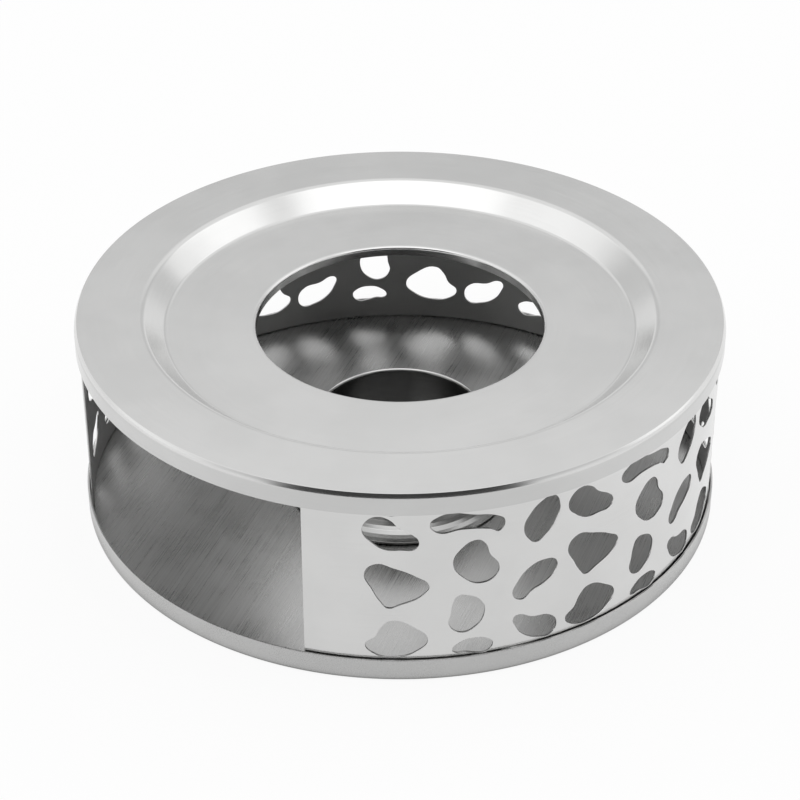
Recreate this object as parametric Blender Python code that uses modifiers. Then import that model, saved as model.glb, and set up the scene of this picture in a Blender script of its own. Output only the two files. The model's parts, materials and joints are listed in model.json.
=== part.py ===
"""Round steel teapot warmer: a dished top plate with a collared flame hole, a pierced side band, a base pan and a
tealight cup.

Metres, +Z up. The origin is the centre of the underside, and the door in the band opens towards -X and -Y.
Angles are measured about the vertical axis from the front (-Y), positive towards +X.
"""

import math

import bmesh
import bpy
from mathutils import Vector

# Overall sizes
BODY_RADIUS = 0.0750
TOTAL_HEIGHT = 0.0498
SHEET = 0.0005
WELD_GAP = 0.0003

# Top plate
SKIRT_DEPTH = 0.0052
TOP_EDGE_RADIUS = 0.0010
SEAT_INNER_RADIUS = 0.0594
SEAT_BEND_RADIUS = 0.0020
DISH_FLOOR_RADIUS = 0.0545
DISH_BEND_RADIUS = 0.0012
DISH_DEPTH = 0.0045
FLAME_HOLE_RADIUS = 0.0335
COLLAR_DROP = 0.0024
COLLAR_BEND_RADIUS = 0.0007

# Base pan
RIM_HEIGHT = 0.00565
FOOT_RADIUS = 0.0010

# Candle cup
CUP_BORE_RADIUS = 0.0194
CUP_DEPTH = 0.0173
CUP_CORNER_RADIUS = 0.0012

# Side band
BAND_CREVICE = 0.0003
DOOR_START_DEG = -80.0
DOOR_END_DEG = -16.2
FRONT_MARGIN = 0.0129
REAR_MARGIN = 0.0099
DIE_STRIKES = 8

# Punching die: ten pebbles on a plate of this size, as outlines in millimetres from its lower left corner.
# Its lower edge lies level with the pan's rim and its upper edge level with the skirt.
DIE_WIDTH = 45.0
DIE_HEIGHT = 38.95
DIE_PEBBLES = {
    "pear": [(0.1, 33.9), (1.0, 36.8), (3.4, 38.0), (5.8, 37.2), (7.7, 35.2), (10.5, 33.4), (11.9, 31.7),
             (11.5, 29.8), (8.0, 29.4), (4.9, 29.5), (2.0, 31.3)],
    "wedge": [(0.5, 23.2), (2.9, 25.6), (6.6, 24.6), (11.4, 22.3), (14.2, 19.7), (13.1, 17.5), (8.1, 14.8),
              (5.3, 13.9), (3.9, 15.4), (2.2, 18.5)],
    "dome": [(0.5, 3.7), (2.7, 6.0), (4.0, 8.6), (6.1, 10.4), (11.0, 8.6), (14.0, 5.0), (11.8, 2.1),
             (7.0, 0.4), (2.5, 1.2)],
    "slug": [(14.2, 35.8), (16.2, 37.8), (18.9, 38.4), (23.5, 37.5), (28.3, 36.5), (30.2, 35.0), (29.2, 32.4),
             (26.8, 33.3), (20.9, 34.0), (15.9, 33.6)],
    "heart": [(19.2, 25.2), (20.8, 28.8), (24.3, 30.8), (26.1, 29.6), (27.2, 26.5), (29.2, 23.4), (28.7, 20.7),
              (25.1, 19.2), (21.4, 21.2)],
    "egg": [(19.3, 14.4), (20.3, 16.3), (22.9, 16.2), (25.7, 14.0), (26.2, 10.8), (24.3, 7.5), (21.0, 6.4),
            (18.5, 8.8), (18.9, 11.8)],
    "half_moon": [(19.3, 1.6), (20.9, 3.6), (24.1, 4.4), (27.4, 3.5), (28.3, 2.2), (26.8, 0.1), (24.4, 0.2),
                  (22.1, 0.8), (20.1, 0.8)],
    "leaf": [(34.6, 31.7), (36.0, 35.1), (38.3, 37.5), (41.3, 38.4), (42.9, 35.6), (42.3, 32.0), (39.8, 28.6),
             (37.5, 27.2), (35.8, 28.4)],
    "bean": [(32.5, 14.3), (33.6, 17.7), (36.1, 20.7), (39.8, 21.9), (42.6, 20.8), (42.5, 18.0), (40.4, 15.9),
             (37.2, 14.4), (34.6, 12.5)],
    "boat": [(32.8, 7.8), (33.8, 8.5), (37.3, 7.1), (41.5, 6.2), (43.3, 3.6), (42.1, 0.7), (39.0, 0.8),
             (35.4, 2.6), (33.3, 5.6)],
}

# Smoothness
TURN_STEPS = 64
FILLET_STEPS = 3
PEBBLE_STEPS = 2
WELD_DISTANCE = 1e-6

# Finish
STEEL_COLOUR = (0.62, 0.62, 0.61)
DARK_STEEL_COLOUR = (0.48, 0.48, 0.47)
SATIN_ROUGHNESS = 0.30
BRUSHED_ROUGHNESS = 0.38


def clear_scene():
    for obj in list(bpy.data.objects):
        bpy.data.objects.remove(obj, do_unlink=True)


def steel(name, colour, roughness):
    material = bpy.data.materials.new(name)
    material.use_nodes = True
    shader = material.node_tree.nodes["Principled BSDF"]
    shader.inputs["Base Color"].default_value = (*colour, 1.0)
    shader.inputs["Metallic"].default_value = 1.0
    shader.inputs["Roughness"].default_value = roughness
    return material


def add_part(name, mesh, material, collection):
    mesh.materials.clear()
    mesh.materials.append(material)
    part = bpy.data.objects.new(name, mesh)
    collection.objects.link(part)
    return part


def filleted(corners):
    """Points of a path through (radius, height, fillet) corners, each corner rounded by an arc."""
    points = [Vector(corners[0][:2])]
    for before, corner, after in zip(corners, corners[1:], corners[2:]):
        at = Vector(corner[:2])
        back = Vector(before[:2]) - at
        ahead = Vector(after[:2]) - at
        half_angle = back.angle(ahead) / 2
        room = 0.45 * min(back.length, ahead.length)
        reach = min(corner[2] / math.tan(half_angle), room)
        fillet = reach * math.tan(half_angle)
        middle = at + (back.normalized() + ahead.normalized()).normalized() * fillet / math.sin(half_angle)
        start = (at + back.normalized() * reach - middle).normalized()
        end = (at + ahead.normalized() * reach - middle).normalized()
        for step in range(FILLET_STEPS + 1):
            points.append(middle + start.slerp(end, step / FILLET_STEPS) * fillet)
    points.append(Vector(corners[-1][:2]))
    return points


def turned_sheet(name, corners, material, collection):
    """A pressed round sheet: the path is its outer face, and the sheet's thickness goes inwards."""
    path = filleted(corners)
    mesh = bpy.data.meshes.new(name)
    mesh.from_pydata([(p.x, 0.0, p.y) for p in path], [(i, i + 1) for i in range(len(path) - 1)], [])
    part = add_part(name, mesh, material, collection)
    turn = part.modifiers.new("turn", "SCREW")
    turn.axis = "Z"
    turn.angle = math.tau
    turn.steps = TURN_STEPS
    turn.render_steps = TURN_STEPS
    turn.use_merge_vertices = True
    turn.merge_threshold = WELD_DISTANCE
    turn.use_smooth_shade = True
    wall = part.modifiers.new("sheet", "SOLIDIFY")
    wall.thickness = SHEET
    wall.offset = -1.0
    wall.use_even_offset = True
    return part


def make_top_plate(material, collection):
    dish_floor = TOTAL_HEIGHT - DISH_DEPTH
    corners = [
        (FLAME_HOLE_RADIUS, dish_floor - COLLAR_DROP, 0.0),
        (FLAME_HOLE_RADIUS, dish_floor, COLLAR_BEND_RADIUS),
        (DISH_FLOOR_RADIUS, dish_floor, DISH_BEND_RADIUS),
        (SEAT_INNER_RADIUS, TOTAL_HEIGHT, SEAT_BEND_RADIUS),
        (BODY_RADIUS, TOTAL_HEIGHT, TOP_EDGE_RADIUS),
        (BODY_RADIUS, TOTAL_HEIGHT - SKIRT_DEPTH, 0.0),
    ]
    return turned_sheet("top_plate", corners, material, collection)


def make_base_pan(material, collection):
    corners = [(BODY_RADIUS, RIM_HEIGHT, 0.0), (BODY_RADIUS, 0.0, FOOT_RADIUS), (0.0, 0.0, 0.0)]
    return turned_sheet("base_pan", corners, material, collection)


def make_candle_cup(material, collection):
    outer_radius = CUP_BORE_RADIUS + SHEET
    foot = SHEET + WELD_GAP
    rim = foot + SHEET + CUP_DEPTH
    corners = [(outer_radius, rim, 0.0), (outer_radius, foot, CUP_CORNER_RADIUS), (0.0, foot, 0.0)]
    return turned_sheet("candle_cup", corners, material, collection)


def band_outline():
    """The flat strip with its punched pebbles, as a 2D curve: x along the strip, y up it."""
    middle_radius = BODY_RADIUS - SHEET - BAND_CREVICE - SHEET / 2
    sweep = math.tau - math.radians(DOOR_END_DEG - DOOR_START_DEG)
    length = sweep * middle_radius
    foot = SHEET + WELD_GAP
    head = TOTAL_HEIGHT - SHEET - WELD_GAP
    pitch = (length - FRONT_MARGIN - REAR_MARGIN) / DIE_STRIKES
    field = TOTAL_HEIGHT - SKIRT_DEPTH - RIM_HEIGHT

    curve = bpy.data.curves.new("band_outline", "CURVE")
    curve.dimensions = "2D"
    curve.fill_mode = "BOTH"
    curve.extrude = SHEET / 2
    curve.resolution_u = PEBBLE_STEPS
    strip = curve.splines.new("POLY")
    strip.use_cyclic_u = True
    strip.points.add(3)
    for point, (x, y) in zip(strip.points, [(0, foot), (length, foot), (length, head), (0, head)]):
        point.co = (x, y, 0.0, 1.0)
    for strike in range(DIE_STRIKES):
        left = FRONT_MARGIN + strike * pitch
        for outline in DIE_PEBBLES.values():
            pebble = curve.splines.new("BEZIER")
            pebble.use_cyclic_u = True
            pebble.bezier_points.add(len(outline) - 1)
            for point, (x, y) in zip(pebble.bezier_points, outline):
                point.co = (left + x / DIE_WIDTH * pitch, RIM_HEIGHT + y / DIE_HEIGHT * field, 0.0)
                point.handle_left_type = "AUTO"
                point.handle_right_type = "AUTO"
    return curve, length, middle_radius


def rolled(place, bend_length, middle_radius):
    """Where a point of the flat strip lands once the strip is bent at even steps along its length."""
    bend = math.floor(place.x / bend_length)
    share = place.x / bend_length - bend
    ends = []
    for step in (bend, bend + 1):
        angle = math.radians(DOOR_END_DEG) + step * bend_length / middle_radius
        radius = middle_radius + place.z
        ends.append(Vector((radius * math.sin(angle), -radius * math.cos(angle), place.y)))
    return ends[0].lerp(ends[1], share)


def make_side_band(material, collection):
    """The flat strip is cut across at even steps, then rolled about the vertical axis."""
    curve, length, middle_radius = band_outline()
    flat = bpy.data.objects.new("flat_strip", curve)
    collection.objects.link(flat)
    graph = bpy.context.evaluated_depsgraph_get()
    mesh = bpy.data.meshes.new_from_object(flat.evaluated_get(graph))
    mesh.name = "side_band"
    bpy.data.objects.remove(flat, do_unlink=True)
    bpy.data.curves.remove(curve)

    strip = bmesh.new()
    strip.from_mesh(mesh)
    bmesh.ops.remove_doubles(strip, verts=strip.verts, dist=WELD_DISTANCE)
    bmesh.ops.recalc_face_normals(strip, faces=strip.faces)
    bends = round(TURN_STEPS * length / (math.tau * middle_radius))
    for bend in range(1, bends):
        everything = strip.verts[:] + strip.edges[:] + strip.faces[:]
        place = (length * bend / bends, 0.0, 0.0)
        bmesh.ops.bisect_plane(strip, geom=everything, dist=WELD_DISTANCE, plane_co=place, plane_no=(1, 0, 0))
    for vert in strip.verts:
        vert.co = rolled(vert.co, length / bends, middle_radius)
    strip.to_mesh(mesh)
    strip.free()
    mesh.shade_smooth()
    mesh.set_sharp_from_angle(angle=math.radians(40))
    return add_part("side_band", mesh, material, collection)


def main():
    clear_scene()
    warmer = bpy.data.collections.new("teapot_warmer")
    bpy.context.scene.collection.children.link(warmer)
    make_top_plate(steel("satin_top", STEEL_COLOUR, SATIN_ROUGHNESS), warmer)
    make_side_band(steel("satin_band", STEEL_COLOUR, SATIN_ROUGHNESS), warmer)
    make_base_pan(steel("brushed_pan", DARK_STEEL_COLOUR, BRUSHED_ROUGHNESS), warmer)
    make_candle_cup(steel("drawn_cup", DARK_STEEL_COLOUR, SATIN_ROUGHNESS), warmer)


main()
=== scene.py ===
"""Looks of a round steel teapot warmer: its pressed, punched and brushed sheet, on a pale studio floor."""

import json
import logging
import math
from dataclasses import dataclass, field
from enum import Enum
from functools import cached_property
from typing import Any

import bmesh
import bpy
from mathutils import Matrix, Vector

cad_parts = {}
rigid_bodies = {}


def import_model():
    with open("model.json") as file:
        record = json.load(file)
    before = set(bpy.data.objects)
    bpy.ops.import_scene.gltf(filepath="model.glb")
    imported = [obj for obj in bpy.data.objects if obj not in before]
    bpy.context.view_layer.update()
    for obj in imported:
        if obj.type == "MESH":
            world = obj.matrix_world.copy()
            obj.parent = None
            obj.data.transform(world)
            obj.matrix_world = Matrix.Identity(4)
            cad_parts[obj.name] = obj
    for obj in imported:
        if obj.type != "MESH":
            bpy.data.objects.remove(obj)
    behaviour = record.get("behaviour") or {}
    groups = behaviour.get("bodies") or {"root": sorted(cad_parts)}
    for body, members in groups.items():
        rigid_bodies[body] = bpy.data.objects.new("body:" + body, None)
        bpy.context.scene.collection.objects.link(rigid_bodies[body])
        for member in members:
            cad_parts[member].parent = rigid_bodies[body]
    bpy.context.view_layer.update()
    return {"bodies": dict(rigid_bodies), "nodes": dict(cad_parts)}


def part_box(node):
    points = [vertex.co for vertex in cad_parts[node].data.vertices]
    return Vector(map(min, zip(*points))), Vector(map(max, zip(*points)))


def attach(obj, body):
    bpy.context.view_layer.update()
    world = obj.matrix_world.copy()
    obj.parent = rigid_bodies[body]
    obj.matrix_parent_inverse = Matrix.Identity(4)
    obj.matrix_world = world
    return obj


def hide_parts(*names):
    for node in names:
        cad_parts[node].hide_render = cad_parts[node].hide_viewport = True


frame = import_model()
LOG = logging.getLogger("teapot_warmer")

ROOT_BODY = "root"
SHEET = 0.0005
SKIRT_DEPTH = 0.0052
WELD_DISTANCE = 1e-6
TURN_STEPS = 256
SHORTEST_GUARDED_RUN = 4
WHITE = (1.0, 1.0, 1.0, 1.0)
LEVEL = (1.0, 1.0, 0.0)
FRONT = (0.0, -1.0, 0.0)

Corner = tuple[float, float, float]
Range = tuple[float, float]
Socket = bpy.types.NodeSocket


class Grain(Enum):
    """How the sheet of a piece was ground."""

    ROLLED = "along the rolled strip"
    TURNED = "round the axis"
    LINEAR = "in straight lines across the sheet"


class NodeChart:
    """A short way to lay out the nodes of one material or world."""

    NUMBER_RESULTS = ("LENGTH", "DOT_PRODUCT")

    def __init__(self, tree: bpy.types.NodeTree) -> None:
        """Empties the tree and keeps it."""
        self.tree = tree
        tree.nodes.clear()

    def add(self, kind: str, inputs: dict[str | int, Any] | None = None, **settings: Any) -> bpy.types.Node:
        """Adds a node.

        Args:
            kind: Blender's type name of the node.
            inputs: socket name or number to a value, or to the socket that feeds it.
            settings: properties of the node.

        Returns:
            The new node.
        """
        node = self.tree.nodes.new(kind)
        for name, value in settings.items():
            setattr(node, name, value)
        for name, value in (inputs or {}).items():
            if isinstance(value, Socket):
                self.tree.links.new(value, node.inputs[name])
            else:
                node.inputs[name].default_value = value
        return node

    def math(self, operation: str, *values: Any) -> Socket:
        """Adds a Math node on numbers or sockets and returns its result."""
        return self.add("ShaderNodeMath", dict(enumerate(values)), operation=operation).outputs[0]

    def vector(self, operation: str, *values: Any) -> Socket:
        """Adds a Vector Math node and returns its number, where the operation makes one, or its vector."""
        made = self.add("ShaderNodeVectorMath", dict(enumerate(values)), operation=operation)
        return made.outputs["Value" if operation in self.NUMBER_RESULTS else "Vector"]

    def spread(self, value: Any, low: float, high: float, out_low: float, out_high: float) -> Socket:
        """Maps a value smoothly from one range to another.

        Args:
            value: the number or socket that is mapped.
            low: the value where the change starts.
            high: the value where it ends.
            out_low: the result up to the start.
            out_high: the result from the end on.

        Returns:
            The mapped value.
        """
        limits = {"Value": value, "From Min": low, "From Max": high, "To Min": out_low, "To Max": out_high}
        node = self.add("ShaderNodeMapRange", limits, interpolation_type="SMOOTHSTEP")
        return node.outputs["Result"]

    def noise(self, place: Socket, scale: float, detail: float, roughness: float) -> Socket:
        """Adds a Noise Texture node.

        Args:
            place: the coordinates it is read at.
            scale: how many times it repeats in a metre.
            detail: how many finer layers it has.
            roughness: how strong the finer layers are.

        Returns:
            The noise, from 0 to 1.
        """
        inputs = {"Vector": place, "Scale": scale, "Detail": detail, "Roughness": roughness}
        return self.add("ShaderNodeTexNoise", inputs).outputs["Fac"]


@dataclass(frozen=True)
class SteelFinish:
    """A stainless steel surface: its tone, its sheen, the lines that grinding left on it, and painted shade
    that darkens it on one side of a radius.
    """

    name: str
    grain: Grain
    colour: tuple[float, float, float]
    roughness: float
    roughness_spread: float
    line_depth: float
    anisotropy: float = 0.0
    line_width: float = 0.00022
    line_length: float = 0.030
    line_angle_deg: float = 0.0
    line_share: float = 0.02
    line_detail: float = 3.0
    line_roughness: float = 0.65
    line_range: Range = (0.35, 0.65)
    stain_size: float = 0.018
    stain_share: float = 0.05
    stain_detail: float = 4.0
    stain_roughness: float = 0.55
    stain_range: Range = (0.3, 0.7)
    wear_from_lines: float = 0.6
    wear_from_stains: float = 0.4
    # painted shade: the colour is multiplied by the inside share nearer the axis than this radius and by
    # the outside share further out
    painted_shade_radius: float = 0.0
    tone_blend: float = 0.00008
    painted_shade_inside: float = 1.0
    painted_shade_outside: float = 1.0
    rougher_inside: float = 0.0
    turn_radius: float = 0.06
    uv_name: str = "sheet"

    def material(self) -> bpy.types.Material:
        """Makes the finish's material from its own nodes.

        Returns:
            The new material.
        """
        made = bpy.data.materials.new(self.name)
        made.use_nodes = True
        chart = NodeChart(made.node_tree)
        place = chart.add("ShaderNodeTexCoord").outputs["Object"]
        along = self._grain_space(chart, place)
        lines = chart.noise(along, 1.0, self.line_detail, self.line_roughness)
        stains = chart.noise(place, 1.0 / self.stain_size, self.stain_detail, self.stain_roughness)
        bump = chart.add("ShaderNodeBump", {"Height": lines, "Strength": 1.0, "Distance": self.line_depth})
        shader = chart.add(
            "ShaderNodeBsdfPrincipled",
            {
                "Base Color": self._toned(chart, place, lines, stains),
                "Metallic": 1.0,
                "Roughness": self._worn(chart, place, lines, stains),
                "Anisotropic": self.anisotropy,
                "Normal": bump.outputs["Normal"],
            },
        )
        if self.anisotropy > 0.0:
            across = chart.add("ShaderNodeTangent", direction_type="UV_MAP", uv_map=self.uv_name)
            made.node_tree.links.new(across.outputs["Tangent"], shader.inputs["Tangent"])
        chart.add("ShaderNodeOutputMaterial", {"Surface": shader.outputs["BSDF"]})
        return made

    def _toned(self, chart: NodeChart, place: Socket, lines: Socket, stains: Socket) -> Socket:
        """Lays out the steel's colour, a little darker in its lines and stains, and darkened by painted
        shade on one side of the finish's radius.

        Args:
            chart: the material's nodes.
            place: the place on the piece.
            lines: the grinding lines there.
            stains: the clouds there.

        Returns:
            The colour at that place.
        """
        cloud = chart.spread(stains, *self.stain_range, 1.0 - self.stain_share, 1.0)
        streak = chart.spread(lines, *self.line_range, 1.0 - self.line_share, 1.0)
        tone = chart.math("MULTIPLY", cloud, streak)
        # painted shade: darkens the colour on one side of the finish's radius
        if self.painted_shade_inside != self.painted_shade_outside:
            share = self._by_radius(chart, place, self.painted_shade_inside, self.painted_shade_outside)
            tone = chart.math("MULTIPLY", tone, share)
        colour = chart.add(
            "ShaderNodeMix",
            {"Factor": 1.0, "A": (*self.colour, 1.0), "B": tone},
            data_type="RGBA",
            blend_type="MULTIPLY",
        )
        return colour.outputs["Result"]

    def _worn(self, chart: NodeChart, place: Socket, lines: Socket, stains: Socket) -> Socket:
        """Lays out the steel's roughness, which its lines and stains vary.

        Args:
            chart: the material's nodes.
            place: the place on the piece.
            lines: the grinding lines there.
            stains: the clouds there.

        Returns:
            The roughness at that place.
        """
        from_lines = chart.math("MULTIPLY", lines, self.wear_from_lines)
        from_stains = chart.math("MULTIPLY", stains, self.wear_from_stains)
        wear = chart.math("ADD", from_lines, from_stains)
        low = self.roughness - self.roughness_spread
        high = self.roughness + self.roughness_spread
        roughness = chart.spread(wear, *self.line_range, low, high)
        if self.rougher_inside:
            extra = self._by_radius(chart, place, self.rougher_inside, 0.0)
            roughness = chart.math("ADD", roughness, extra)
        return roughness

    def _by_radius(self, chart: NodeChart, place: Socket, inside: float, outside: float) -> Socket:
        """Lays out a value that changes at the finish's radius.

        Args:
            chart: the material's nodes.
            place: the place on the piece.
            inside: the value nearer the axis than the radius.
            outside: the value further out.

        Returns:
            The value at that place.
        """
        radius = chart.vector("LENGTH", chart.vector("MULTIPLY", place, LEVEL))
        low = self.painted_shade_radius - self.tone_blend
        high = self.painted_shade_radius + self.tone_blend
        return chart.spread(radius, low, high, inside, outside)

    def _grain_space(self, chart: NodeChart, place: Socket) -> Socket:
        """Lays out coordinates that are short across the grinding lines and long along them.

        Args:
            chart: the material's nodes.
            place: the place on the piece.

        Returns:
            The coordinates at that place.
        """
        across = 1.0 / self.line_width
        lengthwise = 1.0 / self.line_length
        if self.grain is Grain.TURNED:
            return self._turned_space(chart, place, across, lengthwise)
        if self.grain is Grain.LINEAR:
            angle = (0.0, 0.0, -math.radians(self.line_angle_deg))
            flat = chart.add("ShaderNodeMapping", {"Vector": place, "Rotation": angle}).outputs["Vector"]
        else:
            flat = chart.add("ShaderNodeUVMap", uv_map=self.uv_name).outputs["UV"]
        stretch = (lengthwise, across, across)
        return chart.add("ShaderNodeMapping", {"Vector": flat, "Scale": stretch}).outputs["Vector"]

    def _turned_space(self, chart: NodeChart, place: Socket, across: float, lengthwise: float) -> Socket:
        """Lays out coordinates for lines that run round the axis.

        Args:
            chart: the material's nodes.
            place: the place on the piece.
            across: how many lines fit in a metre.
            lengthwise: how many line lengths fit in a metre.

        Returns:
            The coordinates at that place.
        """
        flat = chart.vector("MULTIPLY", place, LEVEL)
        height = chart.add("ShaderNodeSeparateXYZ", {"Vector": place}).outputs["Z"]
        section = chart.math("ADD", chart.vector("LENGTH", flat), height)
        turn = chart.add("ShaderNodeSeparateXYZ", {"Vector": chart.vector("NORMALIZE", flat)}).outputs
        turns = self.turn_radius * lengthwise
        joined = chart.add(
            "ShaderNodeCombineXYZ",
            {
                "X": chart.math("MULTIPLY", turn["X"], turns),
                "Y": chart.math("MULTIPLY", turn["Y"], turns),
                "Z": chart.math("MULTIPLY", section, across),
            },
        )
        return joined.outputs["Vector"]


SATIN_TOP = SteelFinish(
    name="satin_top",
    grain=Grain.TURNED,
    colour=(0.75, 0.75, 0.745),
    roughness=0.18,
    roughness_spread=0.02,
    line_depth=3.0e-7,
    # painted shade: the rolled edge and the skirt, outside this radius, are painted darker than the flat
    # top
    painted_shade_radius=0.07488,
    painted_shade_outside=0.84,
)
SATIN_BAND = SteelFinish(
    name="satin_band",
    grain=Grain.ROLLED,
    colour=(0.72, 0.72, 0.715),
    roughness=0.18,
    roughness_spread=0.02,
    line_depth=3.0e-7,
    # painted shade: the inside face of the band, nearer the axis than this radius, is painted darker for
    # the shade inside the warmer
    painted_shade_radius=0.07395,
    painted_shade_inside=0.46,
    rougher_inside=0.16,
)
BRUSHED_PAN = SteelFinish(
    name="brushed_pan",
    grain=Grain.LINEAR,
    colour=(0.67, 0.67, 0.665),
    roughness=0.32,
    roughness_spread=0.08,
    anisotropy=0.6,
    line_depth=2.4e-6,
    line_width=0.00014,
    line_angle_deg=70.0,
    line_share=0.16,
    stain_size=0.016,
    stain_share=0.08,
    # painted shade: the pan's rim, outside this radius, is painted darker for the dim floor it mirrors near
    # its foot
    painted_shade_radius=0.07475,
    painted_shade_outside=0.92,
)
DRAWN_CUP = SteelFinish(
    name="drawn_cup",
    grain=Grain.TURNED,
    colour=(0.54, 0.54, 0.535),
    roughness=0.20,
    roughness_spread=0.03,
    line_depth=6.0e-7,
    # painted shade: the inside of the cup, nearer the axis than this radius, is painted darker for the
    # shade in its hollow
    painted_shade_radius=0.01965,
    painted_shade_inside=0.62,
)


def filleted(corners: list[Corner], steps: int, guard: float) -> list[Vector]:
    """Rounds the corners of a path and guards its straight runs.

    Args:
        corners: (radius, height, fillet radius) of each corner, the two ends included.
        steps: faces along each fillet.
        guard: distance of the extra points that keep a straight run flat up to its ends.

    Returns:
        The path's points, as (radius, height).
    """
    runs: list[Vector] = [Vector(corners[0][:2])]
    for before, corner, after in zip(corners, corners[1:], corners[2:]):
        at = Vector(corner[:2])
        back = (Vector(before[:2]) - at).normalized()
        ahead = (Vector(after[:2]) - at).normalized()
        half_angle = back.angle(ahead) / 2
        reach = corner[2] / math.tan(half_angle)
        middle = at + (back + ahead).normalized() * corner[2] / math.sin(half_angle)
        start = (at + back * reach - middle).normalized()
        end = (at + ahead * reach - middle).normalized()
        runs += [middle + start.slerp(end, step / steps) * corner[2] for step in range(steps + 1)]
    runs.append(Vector(corners[-1][:2]))
    points = [runs[0]]
    for here, there in zip(runs, runs[1:]):
        run = there - here
        if run.length > SHORTEST_GUARDED_RUN * guard:
            points += [here + run.normalized() * guard, there - run.normalized() * guard]
        points.append(there)
    return points


def add_piece(name: str, shape: bmesh.types.BMesh, material: bpy.types.Material) -> bpy.types.Object:
    """Puts a finished shape in the scene.

    Args:
        name: the piece's name.
        shape: its geometry, in place, which is freed.
        material: its finish.

    Returns:
        The new object, at the origin.
    """
    mesh = bpy.data.meshes.new(name)
    shape.to_mesh(mesh)
    shape.free()
    mesh.materials.append(material)
    piece = bpy.data.objects.new(name, mesh)
    bpy.context.scene.collection.objects.link(piece)
    return piece


def dress(piece: bpy.types.Object, node: str) -> bpy.types.Object:
    """Lets a piece stand for a solid of the frame.

    Args:
        piece: the finished piece.
        node: the solid that it replaces.

    Returns:
        The piece, which now rides on the frame.
    """
    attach(piece, ROOT_BODY)
    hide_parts(node)
    return piece


@dataclass
class TurnedSheet:
    """A round pressing: a path turned about the vertical axis, with the sheet's thickness inside it."""

    sheet: float = SHEET
    fillet_steps: int = 10
    guard: float = 0.00012
    cut_edge: float = 0.00018
    cut_edge_segments: int = 4
    sharp_deg: float = 50.0
    flat_weight: int = 50

    def corners(self) -> list[Corner]:
        """The corners of the outer face's path, from the top or the hole down to the foot."""
        raise NotImplementedError

    def shell(self) -> bmesh.types.BMesh:
        """Turns the path, gives it the sheet's thickness and eases its cut edges.

        Returns:
            The closed shape, shaded smooth.
        """
        shape = self._turned_face()
        bmesh.ops.solidify(shape, geom=shape.faces[:], thickness=self.sheet)
        bmesh.ops.recalc_face_normals(shape, faces=shape.faces)
        sharp = math.radians(self.sharp_deg)
        rims = [edge for edge in shape.edges if edge.is_manifold and edge.calc_face_angle() > sharp]
        bmesh.ops.bevel(
            shape,
            geom=rims,
            offset=self.cut_edge,
            offset_type="OFFSET",
            segments=self.cut_edge_segments,
            profile=0.5,
            affect="EDGES",
            clamp_overlap=True,
            material=-1,
        )
        for face in shape.faces:
            face.smooth = True
        return shape

    def _turned_face(self) -> bmesh.types.BMesh:
        """Turns the path into the sheet's outer face.

        Returns:
            The open face, which looks away from the sheet.
        """
        shape = bmesh.new()
        points = filleted(self.corners(), self.fillet_steps, self.guard)
        path = [shape.verts.new((point.x, 0.0, point.y)) for point in points]
        edges = [shape.edges.new(pair) for pair in zip(path, path[1:])]
        bmesh.ops.spin(
            shape,
            geom=path + edges,
            cent=(0.0, 0.0, 0.0),
            axis=(0.0, 0.0, 1.0),
            dvec=(0.0, 0.0, 0.0),
            angle=math.tau,
            steps=TURN_STEPS,
            use_merge=True,
        )
        bmesh.ops.remove_doubles(shape, verts=shape.verts, dist=WELD_DISTANCE)
        bmesh.ops.dissolve_degenerate(shape, edges=shape.edges, dist=WELD_DISTANCE)
        bmesh.ops.recalc_face_normals(shape, faces=shape.faces)
        outward = [face.normal.xy.dot(face.calc_center_median().xy) for face in shape.faces]
        if max(outward, key=abs) < 0:
            bmesh.ops.reverse_faces(shape, faces=shape.faces)
        return shape

    def even_shading(self, piece: bpy.types.Object) -> None:
        """Lets the large faces set the normals, so that flats stay flat up to their eased edges.

        Args:
            piece: the finished piece.
        """
        shading = piece.modifiers.new("even_shading", "WEIGHTED_NORMAL")
        shading.mode = "FACE_AREA"
        shading.weight = self.flat_weight
        shading.keep_sharp = True


@dataclass
class TopPlate(TurnedSheet):
    """The pressed lid: a flat ring for the pot, a dish with a collared flame hole, and a skirt."""

    edge_width: float = 0.00065
    edge_fall_deg: float = 58.0
    crease_radius: float = 0.0001
    edge_radius: float = 0.0030
    seat_inner_radius: float = 0.0594
    seat_bend_radius: float = 0.0020
    dish_floor_radius: float = 0.0545
    dish_bend_radius: float = 0.0012
    dish_depth: float = 0.0045
    flame_hole_radius: float = 0.0335
    collar_drop: float = 0.0024
    collar_bend_radius: float = 0.0007

    def corners(self) -> list[Corner]:
        """The path up the flame hole's collar, out over the dish and the ring, and down the skirt."""
        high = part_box("top_plate")[1]
        floor = high.z - self.dish_depth
        edge_fall = self.edge_width * math.tan(math.radians(self.edge_fall_deg))
        return [
            (self.flame_hole_radius, floor - self.collar_drop, 0.0),
            (self.flame_hole_radius, floor, self.collar_bend_radius),
            (self.dish_floor_radius, floor, self.dish_bend_radius),
            (self.seat_inner_radius, high.z, self.seat_bend_radius),
            (high.x - self.edge_width, high.z, self.crease_radius),
            (high.x, high.z - edge_fall, self.edge_radius),
            (high.x, high.z - SKIRT_DEPTH, 0.0),
        ]

    def build(self) -> bpy.types.Object:
        """Makes the plate and dresses it in satin steel."""
        piece = add_piece("pressed_top", self.shell(), SATIN_TOP.material())
        self.even_shading(piece)
        return dress(piece, "top_plate")


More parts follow.
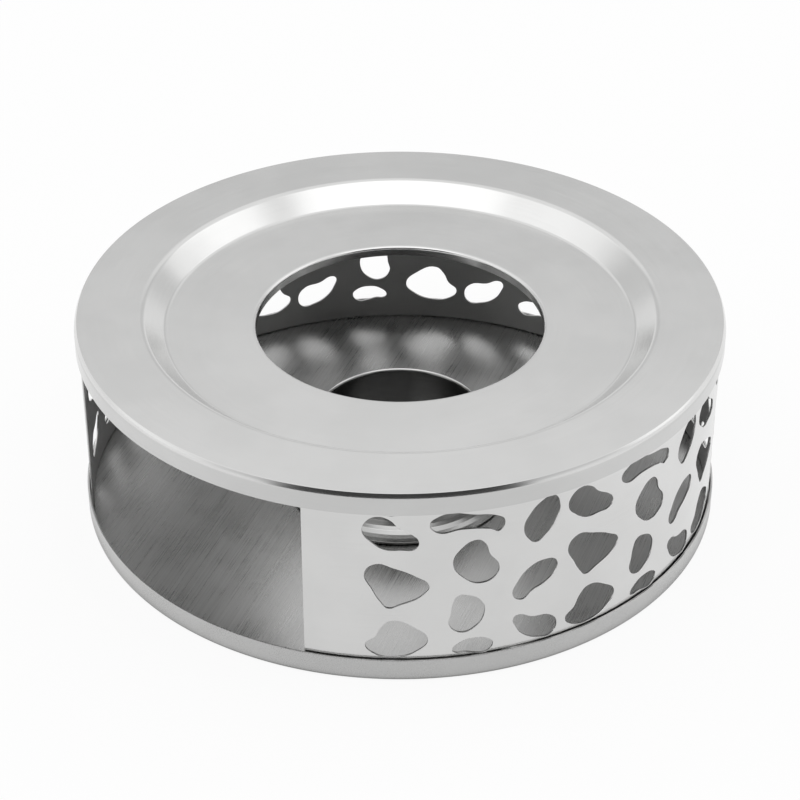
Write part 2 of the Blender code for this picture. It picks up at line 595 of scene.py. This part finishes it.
@dataclass
class BasePan(TurnedSheet):
    """The shallow pan that the band stands in, with its brushed floor."""

    foot_radius: float = 0.0010
    level_limit: float = 0.5

    def corners(self) -> list[Corner]:
        """The path down the rim, round the foot and in under the floor to the axis."""
        low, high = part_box("base_pan")
        return [(high.x, high.z, 0.0), (high.x, low.z, self.foot_radius), (0.0, low.z, 0.0)]

    def build(self) -> bpy.types.Object:
        """Makes the pan, maps its sheet along the grain and dresses it in line-brushed steel."""
        shape = self.shell()
        self._map_sheet(shape)
        piece = add_piece("brushed_base", shape, BRUSHED_PAN.material())
        self.even_shading(piece)
        return dress(piece, "base_pan")

    def _map_sheet(self, shape: bmesh.types.BMesh) -> None:
        """Lays a flat map on the pan, its first axis across the grinding lines and up the rim.

        Args:
            shape: the pan's finished shape.
        """
        lay = shape.loops.layers.uv.new(BRUSHED_PAN.uv_name)
        angle = math.radians(BRUSHED_PAN.line_angle_deg)
        along = Vector((math.cos(angle), math.sin(angle), 0.0))
        across = Vector((-math.sin(angle), math.cos(angle), 0.0))
        for face in shape.faces:
            level = abs(face.normal.z) > self.level_limit
            for loop in face.loops:
                place = loop.vert.co
                turn = math.atan2(place.y, place.x) * place.xy.length
                loop[lay].uv = (place.dot(across), place.dot(along)) if level else (place.z, turn)


@dataclass
class CandleCup(TurnedSheet):
    """The drawn cup for the tealight, with a closed bottom and a foot that flares out onto the pan."""

    wall_radius: float = 0.0199
    flare_radius: float = 0.0074
    foot_edge: float = 0.0002
    lip: float = 0.00035
    lip_bend_radius: float = 0.0003
    cut_edge: float = 0.00012
    bottom_gap: float = 0.00002

    def corners(self) -> list[Corner]:
        """The path down from the lip, along the wall and out over the flared foot."""
        low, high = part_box("candle_cup")
        foot = low.z + self.sheet
        flare = self.wall_radius + self.flare_radius + self.foot_edge
        return [
            (self.wall_radius + self.lip, high.z, 0.0),
            (self.wall_radius, high.z - self.lip, self.lip_bend_radius),
            (self.wall_radius, foot, self.flare_radius),
            (flare, foot, 0.0),
        ]

    def add_bottom(self, shape: bmesh.types.BMesh) -> None:
        """Closes the cup below with a round of the same sheet that meets the underside of the flare.

        Args:
            shape: the cup's wall and foot, to which the bottom is added.
        """
        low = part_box("candle_cup")[0]
        inward = math.sqrt((self.flare_radius + self.sheet) ** 2 - self.flare_radius**2)
        radius = self.wall_radius + self.flare_radius - inward - self.bottom_gap
        rim = bmesh.ops.create_circle(shape, cap_ends=True, radius=radius, segments=TURN_STEPS)["verts"]
        bmesh.ops.translate(shape, verts=rim, vec=(0.0, 0.0, low.z))
        under = rim[0].link_faces[0]
        raised = bmesh.ops.extrude_face_region(shape, geom=[under], use_keep_orig=True)["geom"]
        lifted = [item for item in raised if isinstance(item, bmesh.types.BMVert)]
        bmesh.ops.translate(shape, verts=lifted, vec=(0.0, 0.0, self.sheet))
        bmesh.ops.recalc_face_normals(shape, faces=shape.faces)

    def build(self) -> bpy.types.Object:
        """Makes the cup and dresses it in drawn steel."""
        shape = self.shell()
        self.add_bottom(shape)
        piece = add_piece("tealight_cup", shape, DRAWN_CUP.material())
        self.even_shading(piece)
        return dress(piece, "candle_cup")


@dataclass
class SideBand:
    """The strip round the warmer: punched flat with a die of pebbles, then rolled, with a door in it."""

    sheet: float = SHEET
    crevice: float = 0.0003
    door_start_deg: float = -80.0
    door_end_deg: float = -16.2
    front_margin: float = 0.0129
    rear_margin: float = 0.0099
    die_strikes: int = 8
    die_width: float = 45.0
    die_height: float = 38.95
    burr_radius: float = 0.00007
    burr_steps: int = 1
    pebble_steps: int = 6
    bends: int = 100
    sharp_deg: float = 20.0
    pebbles: dict[str, list[tuple[float, float]]] = field(
        default_factory=lambda: {
            "pear": [(0.1, 33.9), (1.0, 36.8), (3.4, 38.0), (5.8, 37.2), (7.7, 35.2), (10.5, 33.4),
                     (11.9, 31.7), (11.5, 29.8), (8.0, 29.4), (4.9, 29.5), (2.0, 31.3)],
            "wedge": [(0.5, 23.2), (2.9, 25.6), (6.6, 24.6), (11.4, 22.3), (14.2, 19.7), (13.1, 17.5),
                      (8.1, 14.8), (5.3, 13.9), (3.9, 15.4), (2.2, 18.5)],
            "dome": [(0.5, 3.7), (2.7, 6.0), (4.0, 8.6), (6.1, 10.4), (11.0, 8.6), (14.0, 5.0),
                     (11.8, 2.1), (7.0, 0.4), (2.5, 1.2)],
            "slug": [(14.2, 35.8), (16.2, 37.8), (18.9, 38.4), (23.5, 37.5), (28.3, 36.5), (30.2, 35.0),
                     (29.2, 32.4), (26.8, 33.3), (20.9, 34.0), (15.9, 33.6)],
            "heart": [(19.2, 25.2), (20.8, 28.8), (24.3, 30.8), (26.1, 29.6), (27.2, 26.5), (29.2, 23.4),
                      (28.7, 20.7), (25.1, 19.2), (21.4, 21.2)],
            "egg": [(19.3, 14.4), (20.3, 16.3), (22.9, 16.2), (25.7, 14.0), (26.2, 10.8), (24.3, 7.5),
                    (21.0, 6.4), (18.5, 8.8), (18.9, 11.8)],
            "half_moon": [(19.3, 1.6), (20.9, 3.6), (24.1, 4.4), (27.4, 3.5), (28.3, 2.2), (26.8, 0.1),
                          (24.4, 0.2), (22.1, 0.8), (20.1, 0.8)],
            "leaf": [(34.6, 31.7), (36.0, 35.1), (38.3, 37.5), (41.3, 38.4), (42.9, 35.6), (42.3, 32.0),
                     (39.8, 28.6), (37.5, 27.2), (35.8, 28.4)],
            "bean": [(32.5, 14.3), (33.6, 17.7), (36.1, 20.7), (39.8, 21.9), (42.6, 20.8), (42.5, 18.0),
                     (40.4, 15.9), (37.2, 14.4), (34.6, 12.5)],
            "boat": [(32.8, 7.8), (33.8, 8.5), (37.3, 7.1), (41.5, 6.2), (43.3, 3.6), (42.1, 0.7),
                     (39.0, 0.8), (35.4, 2.6), (33.3, 5.6)],
        }
    )

    @cached_property
    def middle_radius(self) -> float:
        """Radius of the middle of the rolled sheet."""
        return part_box("base_pan")[1].x - self.sheet - self.crevice - self.sheet / 2

    @cached_property
    def length(self) -> float:
        """Length of the flat strip."""
        return (math.tau - math.radians(self.door_end_deg - self.door_start_deg)) * self.middle_radius

    def outline(self) -> bpy.types.Curve:
        """Draws the flat strip with its pebbles, x along it and y up it, with eased cut edges.

        Returns:
            The filled curve.
        """
        low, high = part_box("side_band")
        curve = bpy.data.curves.new("flat_strip", "CURVE")
        curve.dimensions = "2D"
        curve.fill_mode = "BOTH"
        curve.resolution_u = self.pebble_steps
        curve.extrude = self.sheet / 2 - self.burr_radius
        curve.bevel_depth = self.burr_radius
        curve.bevel_resolution = self.burr_steps
        curve.offset = -self.burr_radius
        strip = curve.splines.new("POLY")
        strip.use_cyclic_u = True
        ends = [(0.0, low.z), (self.length, low.z), (self.length, high.z), (0.0, high.z)]
        strip.points.add(len(ends) - 1)
        for point, (x, y) in zip(strip.points, ends):
            point.co = (x, y, 0.0, 1.0)
        self._punch(curve)
        return curve

    def _punch(self, curve: bpy.types.Curve) -> None:
        """Strikes the die along the strip, from the door's front end to its rear end.

        Args:
            curve: the strip's outline, to which the pebbles are added.
        """
        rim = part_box("base_pan")[1].z
        field_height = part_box("top_plate")[1].z - SKIRT_DEPTH - rim
        pitch = (self.length - self.front_margin - self.rear_margin) / self.die_strikes
        for strike in range(self.die_strikes):
            left = self.front_margin + strike * pitch
            for shape in self.pebbles.values():
                pebble = curve.splines.new("BEZIER")
                pebble.use_cyclic_u = True
                pebble.bezier_points.add(len(shape) - 1)
                for point, (x, y) in zip(pebble.bezier_points, shape):
                    along = left + x / self.die_width * pitch
                    point.co = (along, rim + y / self.die_height * field_height, 0.0)
                    point.handle_left_type = "AUTO"
                    point.handle_right_type = "AUTO"

    def flat_strip(self) -> bpy.types.Mesh:
        """Makes the drawn strip a mesh, cut across at every bend.

        Returns:
            The flat mesh, its sharp edges marked.
        """
        curve = self.outline()
        drawn = bpy.data.objects.new("flat_strip", curve)
        bpy.context.scene.collection.objects.link(drawn)
        graph = bpy.context.evaluated_depsgraph_get()
        mesh = bpy.data.meshes.new_from_object(drawn.evaluated_get(graph))
        bpy.data.objects.remove(drawn, do_unlink=True)
        bpy.data.curves.remove(curve)
        strip = bmesh.new()
        strip.from_mesh(mesh)
        bmesh.ops.remove_doubles(strip, verts=strip.verts, dist=WELD_DISTANCE)
        bmesh.ops.recalc_face_normals(strip, faces=strip.faces)
        self._cut_bends(strip, strip.faces[:], 0, self.bends)
        strip.to_mesh(mesh)
        strip.free()
        mesh.shade_smooth()
        mesh.set_sharp_from_angle(angle=math.radians(self.sharp_deg))
        return mesh

    def _cut_bends(
        self, strip: bmesh.types.BMesh, faces: list[bmesh.types.BMFace], first: int, last: int
    ) -> None:
        """Cuts part of the strip across at its middle bend, then each half in the same way.

        Args:
            strip: the flat strip.
            faces: the faces between the two bends.
            first: number of the bend at the left end of the faces.
            last: number of the bend at their right end.
        """
        if last - first < 2:
            return
        middle = (first + last) // 2
        place = self.length * middle / self.bends
        edges = dict.fromkeys(edge for face in faces for edge in face.edges)
        verts = dict.fromkeys(vert for face in faces for vert in face.verts)
        cut = bmesh.ops.bisect_plane(
            strip,
            geom=[*faces, *edges, *verts],
            dist=WELD_DISTANCE,
            plane_co=(place, 0.0, 0.0),
            plane_no=(1.0, 0.0, 0.0),
        )
        parts = [item for item in cut["geom"] if isinstance(item, bmesh.types.BMFace)]
        left = [face for face in parts if face.calc_center_median().x < place]
        right = [face for face in parts if face.calc_center_median().x >= place]
        self._cut_bends(strip, left, first, middle)
        self._cut_bends(strip, right, middle, last)

    def rolled(self, flat: Vector, offset: float) -> tuple[Vector, Vector, Vector, Vector]:
        """Where a point of the strip lands, and the directions along, up and out of the strip there.

        Args:
            flat: the point on the flat strip.
            offset: its distance from the middle of the sheet.

        Returns:
            The rolled point and the three directions.
        """
        angle = math.radians(self.door_end_deg) + flat.x / self.middle_radius
        out = Vector((math.sin(angle), -math.cos(angle), 0.0))
        along = Vector((math.cos(angle), math.sin(angle), 0.0))
        up = Vector((0.0, 0.0, 1.0))
        return out * (self.middle_radius + offset) + up * flat.y, along, up, out

    def build(self) -> bpy.types.Object:
        """Rolls the strip, keeps the flat sheet's shading on it and dresses it in satin steel.

        Returns:
            The finished band.
        """
        mesh = self.flat_strip()
        mesh.name = "punched_band"
        flats = [vert.co.copy() for vert in mesh.vertices]
        corners = [flats[loop.vertex_index] for loop in mesh.loops]
        shading = []
        for flat, normal in zip(corners, mesh.corner_normals):
            _, along, up, out = self.rolled(flat, 0.0)
            bent = along * normal.vector.x + up * normal.vector.y + out * normal.vector.z
            shading.append(bent.normalized())
        lay = mesh.uv_layers.new(name=SATIN_BAND.uv_name)
        lay.uv.foreach_set("vector", [length for flat in corners for length in flat.xy])
        for vert, flat in zip(mesh.vertices, flats):
            vert.co = self.rolled(flat, flat.z)[0]
        mesh.update()
        mesh.normals_split_custom_set(shading)
        mesh.materials.clear()
        mesh.materials.append(SATIN_BAND.material())
        piece = bpy.data.objects.new("punched_band", mesh)
        bpy.context.scene.collection.objects.link(piece)
        return dress(piece, "side_band")


@dataclass(frozen=True)
class Softbox:
    """A bright patch of the tent, by where it hangs as seen from the warmer."""

    azimuth_deg: float
    elevation_deg: float
    half_deg: float
    soft_deg: float
    strength: float

    def glow(self, chart: NodeChart, toward: Socket) -> Socket:
        """Lays out the patch's brightness.

        Args:
            chart: the world's nodes.
            toward: the direction that is looked in.

        Returns:
            The patch's strength inside it and zero outside.
        """
        azimuth = math.radians(self.azimuth_deg)
        elevation = math.radians(self.elevation_deg)
        level = math.cos(elevation)
        middle = (math.sin(azimuth) * level, -math.cos(azimuth) * level, math.sin(elevation))
        near = chart.vector("DOT_PRODUCT", toward, middle)
        outer = math.cos(math.radians(self.half_deg + self.soft_deg))
        inner = math.cos(math.radians(self.half_deg))
        return chart.spread(near, outer, inner, 0.0, self.strength)


@dataclass
class Studio:
    """The pale floor, the soft surround and the camera of the picture."""

    floor_radius: float = 3.0
    floor_segments: int = 96
    floor_albedo: float = 0.92
    floor_seen: float = 0.90
    floor_mirrored: float = 0.80
    # painted shade: the floor's glow, as the metal mirrors it, is dimmer towards the front
    painted_front_shade: float = 0.88
    painted_front_shade_range: Range = (0.35, 0.95)
    # painted shadow: the floor's glow, as the metal mirrors it, is dimmed in a ring round the pan's foot
    painted_shadow_inset: float = 0.0005
    painted_shadow_width: float = 0.0028
    painted_shadow_share: float = 0.35
    dark_side: float = 0.07
    dark_side_deg: Range = (47.0, 33.0)
    dark_height_deg: Range = (46.0, 54.0)
    camera_distance: float = 0.5624
    camera_elevation_deg: float = 33.973
    aim_height: float = 0.02288
    focal_pixels: float = 2369.0
    image_pixels: float = 800.0
    sensor_width: float = 36.0
    nearest_seen: float = 0.01
    furthest_seen: float = 20.0
    tent_by_height: tuple[Range, ...] = (
        (0.0, 0.92),
        (0.15, 0.92),
        (0.28, 0.72),
        (0.48, 0.66),
        (0.62, 0.95),
        (1.0, 0.95),
    )
    softboxes: tuple[Softbox, ...] = (
        Softbox(azimuth_deg=0.0, elevation_deg=68.0, half_deg=26.0, soft_deg=10.0, strength=0.5),
        Softbox(azimuth_deg=-92.0, elevation_deg=32.0, half_deg=20.0, soft_deg=16.0, strength=0.25),
        Softbox(azimuth_deg=102.0, elevation_deg=28.0, half_deg=22.0, soft_deg=8.0, strength=0.4),
    )

    def floor(self) -> bpy.types.Object:
        """Lays the pale floor, which keeps the warmer's shadow.

        Returns:
            The floor.
        """
        shape = bmesh.new()
        bmesh.ops.create_circle(
            shape, cap_ends=True, radius=self.floor_radius, segments=self.floor_segments
        )
        floor = add_piece("floor", shape, self._floor_paint())
        return floor

    def _floor_paint(self) -> bpy.types.Material:
        """Makes the floor's material: matt for the light it catches, near white where it is seen, and a
        glow with painted shade and a painted contact shadow where the metal mirrors it.

        Returns:
            The new material.
        """
        material = bpy.data.materials.new("pale_floor")
        material.use_nodes = True
        chart = NodeChart(material.node_tree)
        albedo = (self.floor_albedo,) * 3
        matt = chart.add("ShaderNodeBsdfDiffuse", {"Color": (*albedo, 1.0)})
        path = chart.add("ShaderNodeLightPath").outputs
        # the glow carries painted shade and a painted contact shadow for glossy rays; the camera sees it at
        # full strength
        glow_with_painted_shade = chart.math("MAXIMUM", self._painted_mirrored_shade(chart), path["Is Camera Ray"])
        glow = chart.add("ShaderNodeEmission", {"Color": WHITE, "Strength": glow_with_painted_shade})
        direct = chart.math("ADD", path["Is Camera Ray"], path["Is Transmission Ray"])
        seen = chart.math("MULTIPLY", direct, self.floor_seen)
        mirrored = chart.math("MULTIPLY", path["Is Glossy Ray"], self.floor_mirrored)
        share = chart.math("MAXIMUM", seen, mirrored)
        mixed = chart.add("ShaderNodeMixShader", {0: share, 1: matt.outputs[0], 2: glow.outputs[0]})
        chart.add("ShaderNodeOutputMaterial", {"Surface": mixed.outputs[0]})
        return material

    def _painted_mirrored_shade(self, chart: NodeChart) -> Socket:
        """Lays out how bright the floor is in the metal: painted shade dims it to the front and a painted
        contact shadow dims it close to the foot.

        Args:
            chart: the floor's nodes.

        Returns:
            The brightness, up to 1.
        """
        place = chart.add("ShaderNodeTexCoord").outputs["Object"]
        ahead = chart.vector("DOT_PRODUCT", chart.vector("NORMALIZE", place), FRONT)
        # painted shade: dimmer towards the front
        painted_front_dimming = chart.spread(ahead, *self.painted_front_shade_range, 1.0, self.painted_front_shade)
        radius = chart.vector("LENGTH", place)
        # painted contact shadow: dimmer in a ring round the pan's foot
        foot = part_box("base_pan")[1].x - self.painted_shadow_inset
        painted_contact_shadow = chart.spread(radius, foot, foot + self.painted_shadow_width, self.painted_shadow_share, 1.0)
        return chart.math("MULTIPLY", painted_front_dimming, painted_contact_shadow)

    def world(self) -> None:
        """Hangs a white tent round the warmer, left dark on the side the picture is taken from."""
        world = bpy.data.worlds.new("studio_tent")
        world.use_nodes = True
        chart = NodeChart(world.node_tree)
        toward = chart.add("ShaderNodeTexCoord").outputs["Generated"]
        height = chart.add("ShaderNodeSeparateXYZ", {"Vector": toward}).outputs["Z"]
        tent = self._tent(chart, height)
        light = chart.math("MULTIPLY", tent, self._darkened(chart, toward, height))
        for softbox in self.softboxes:
            light = chart.math("ADD", light, softbox.glow(chart, toward))
        direct = chart.add("ShaderNodeLightPath").outputs["Is Camera Ray"]
        lit = chart.add("ShaderNodeBackground", {"Color": WHITE, "Strength": light})
        white = chart.add("ShaderNodeBackground", {"Color": WHITE, "Strength": 1.0})
        mixed = chart.add("ShaderNodeMixShader", {0: direct, 1: lit.outputs[0], 2: white.outputs[0]})
        chart.add("ShaderNodeOutputWorld", {"Surface": mixed.outputs[0]})
        bpy.context.scene.world = world

    def _tent(self, chart: NodeChart, height: Socket) -> Socket:
        """Lays out the tent's cloth, brighter and darker by height.

        Args:
            chart: the world's nodes.
            height: how far up is looked, from -1 to 1.

        Returns:
            The cloth's brightness.
        """
        ramp = chart.add("ShaderNodeValToRGB", {"Fac": height})
        stops = ramp.color_ramp.elements
        while len(stops) < len(self.tent_by_height):
            stops.new(1.0)
        for stop, (position, brightness) in zip(stops, self.tent_by_height):
            stop.position = position
            stop.color = (brightness, brightness, brightness, 1.0)
        return ramp.outputs["Color"]

    def _darkened(self, chart: NodeChart, toward: Socket, height: Socket) -> Socket:
        """Lays out the gap in the tent, at the front and below the lamps.

        Args:
            chart: the world's nodes.
            toward: the direction that is looked in.
            height: how far up is looked, from -1 to 1.

        Returns:
            The share of the tent's light that is left, 1 outside the gap.
        """
        level = chart.vector("NORMALIZE", chart.vector("MULTIPLY", toward, LEVEL))
        ahead = chart.vector("DOT_PRODUCT", level, FRONT)
        outer, inner = (math.cos(math.radians(angle)) for angle in self.dark_side_deg)
        lower, upper = (math.sin(math.radians(angle)) for angle in self.dark_height_deg)
        facing = chart.spread(ahead, outer, inner, 0.0, 1.0)
        below_lamps = chart.spread(height, lower, upper, 1.0, 0.0)
        return chart.spread(chart.math("MULTIPLY", facing, below_lamps), 0.0, 1.0, 1.0, self.dark_side)

    def camera(self) -> bpy.types.Object:
        """Stands the camera where the photograph was taken from.

        Returns:
            The camera.
        """
        data = bpy.data.cameras.new("camera")
        data.sensor_width = self.sensor_width
        data.lens = self.sensor_width * self.focal_pixels / self.image_pixels
        data.clip_start = self.nearest_seen
        data.clip_end = self.furthest_seen
        camera = bpy.data.objects.new("camera", data)
        tilt = math.radians(self.camera_elevation_deg)
        away = Vector((0.0, -math.cos(tilt), math.sin(tilt))) * self.camera_distance
        camera.location = away + Vector((0.0, 0.0, self.aim_height))
        camera.rotation_euler = (math.pi / 2 - tilt, 0.0, 0.0)
        bpy.context.scene.collection.objects.link(camera)
        bpy.context.scene.camera = camera
        return camera

    def build(self) -> None:
        """Sets the stage, the light and the camera."""
        self.floor()
        self.world()
        self.camera()
        bpy.context.scene.view_settings.view_transform = "Standard"


def clear_startup() -> None:
    """Removes what Blender starts with, and keeps the frame."""
    kept = set(frame["nodes"].values()) | set(frame["bodies"].values())
    for thing in list(bpy.data.objects):
        if thing not in kept:
            bpy.data.objects.remove(thing, do_unlink=True)


def main() -> None:
    """Builds and dresses each piece."""
    logging.basicConfig(level=logging.INFO, format="%(name)s: %(message)s")
    clear_startup()
    Studio().build()
    for part in (TopPlate(), SideBand(), BasePan(), CandleCup()):
        piece = part.build()
        LOG.info("%s has %d faces", piece.name, len(piece.data.polygons))


if __name__ == "__main__":
    main()
